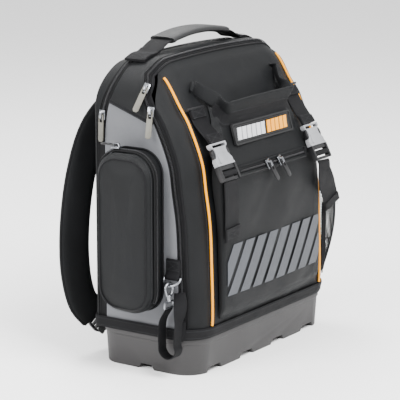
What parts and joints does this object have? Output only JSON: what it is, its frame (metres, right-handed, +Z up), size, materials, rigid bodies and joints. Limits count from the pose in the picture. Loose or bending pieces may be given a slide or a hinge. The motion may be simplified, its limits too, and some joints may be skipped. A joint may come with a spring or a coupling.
{
  "type": "tool backpack",
  "caption": "Upright tool backpack with a moulded base, arched zipped body, front pocket held by buckled straps, box side pocket, net pocket, padded shoulder straps and a top handle",
  "frame": {"origin": "centre of the base's underside, level with the ground", "axes": "+Z up, -Y the front with the big pocket, +Y the back panel with the shoulder straps, -X the box-shaped side pocket"},
  "size_m": [0.4836, 0.286, 0.5052],
  "materials": {
    "nylon": "matt woven",
    "panel": "matt woven",
    "webbing": "ribbed weave",
    "base": "grained",
    "zip": "matt tape and coil",
    "piping": "smooth woven",
    "net": "open net",
    "pad": "padded, matt",
    "plastic": "satin",
    "silver": "satin",
    "greige": "satin",
    "steel": "satin",
    "rubber": "matt"
  },
  "bodies": {
    "bag": {"front_panel": "nylon", "main_zip": "zip", "main_gusset": "panel", "rear_zip": "zip", "back_panel": "nylon", "base_tub": "base", "base_binding": "webbing", "piping_left": "piping", "piping_right": "piping", "front_pocket": "nylon", "front_pocket_rim": "webbing", "front_zip_welt": "zip", "badge": "rubber", "buckle_upper_left": "silver", "buckle_lower_left": "plastic", "buckle_upper_right": "silver", "buckle_lower_right": "plastic", "pocket_strap_left": "webbing", "strap_bar_left": "plastic", "pocket_strap_right": "webbing", "strap_bar_right": "plastic", "pocket_tail_left": "webbing", "pocket_tail_right": "webbing", "side_pocket": "nylon", "side_pocket_zip": "zip", "bottle_pocket": "net", "bottle_hem": "webbing", "top_handle": "webbing", "handle_grip": "rubber", "shoulder_strap_left": "pad", "adjuster_left": "plastic", "lower_web_left": "webbing", "shoulder_strap_right": "pad", "adjuster_right": "plastic", "lower_web_right": "webbing", "ring_tab": "webbing", "d_ring": "steel", "snap_hook": "steel", "tether_strap": "webbing", "main_zip_upper_slider": "steel", "main_zip_lower_slider": "steel", "rear_zip_slider": "steel", "front_zip_left_slider": "steel", "front_zip_right_slider": "steel", "side_zip_slider": "steel"},
    "main_zip_upper_pull": {"main_zip_upper_puller": "greige"},
    "main_zip_lower_pull": {"main_zip_lower_puller": "greige"},
    "rear_zip_pull": {"rear_zip_puller": "greige"},
    "front_zip_left_pull": {"front_zip_left_puller": "plastic"},
    "front_zip_right_pull": {"front_zip_right_puller": "plastic"},
    "side_zip_pull": {"side_zip_puller": "plastic"},
    "gate": {"snap_gate": "steel"}
  },
  "joints": [
    {"name": "main_zip_upper_pull_swing", "type": "hinge", "parent": "bag", "child": "main_zip_upper_pull", "pos_m": [-0.18743, -0.00164, 0.43692], "axis": [-0.2442, 0.9288, 0.2786], "range_deg": [0, 150]},
    {"name": "main_zip_lower_pull_swing", "type": "hinge", "parent": "bag", "child": "main_zip_lower_pull", "pos_m": [-0.19834, -0.01761, 0.40338], "axis": [-0.3576, 0.9337, 0.0187], "range_deg": [0, 150]},
    {"name": "rear_zip_pull_swing", "type": "hinge", "parent": "bag", "child": "rear_zip_pull", "pos_m": [-0.2021, 0.07085, 0.39], "axis": [0, 0.9996, 0.03], "range_deg": [0, 150]},
    {"name": "front_zip_left_pull_swing", "type": "hinge", "parent": "bag", "child": "front_zip_left_pull", "pos_m": [-0.02, -0.11719, 0.30669], "axis": [-0.9376, -0.1154, -0.3281], "range_deg": [0, 150]},
    {"name": "front_zip_right_pull_swing", "type": "hinge", "parent": "bag", "child": "front_zip_right_pull", "pos_m": [0.014, -0.11722, 0.30669], "axis": [-0.9376, -0.1154, -0.3281], "range_deg": [0, 150]},
    {"name": "side_zip_pull_swing", "type": "hinge", "parent": "bag", "child": "side_zip_pull", "pos_m": [-0.22406, 0.026, 0.3525], "axis": [1, 0, 0], "range_deg": [0, 150]},
    {"name": "snap_gate_swing", "type": "hinge", "parent": "bag", "child": "gate", "pos_m": [-0.21697, -0.0595, 0.13029], "axis": [0, 1, 0], "range_deg": [0, 18], "stiffness_Nm_per_rad": 0.002}
  ]
}
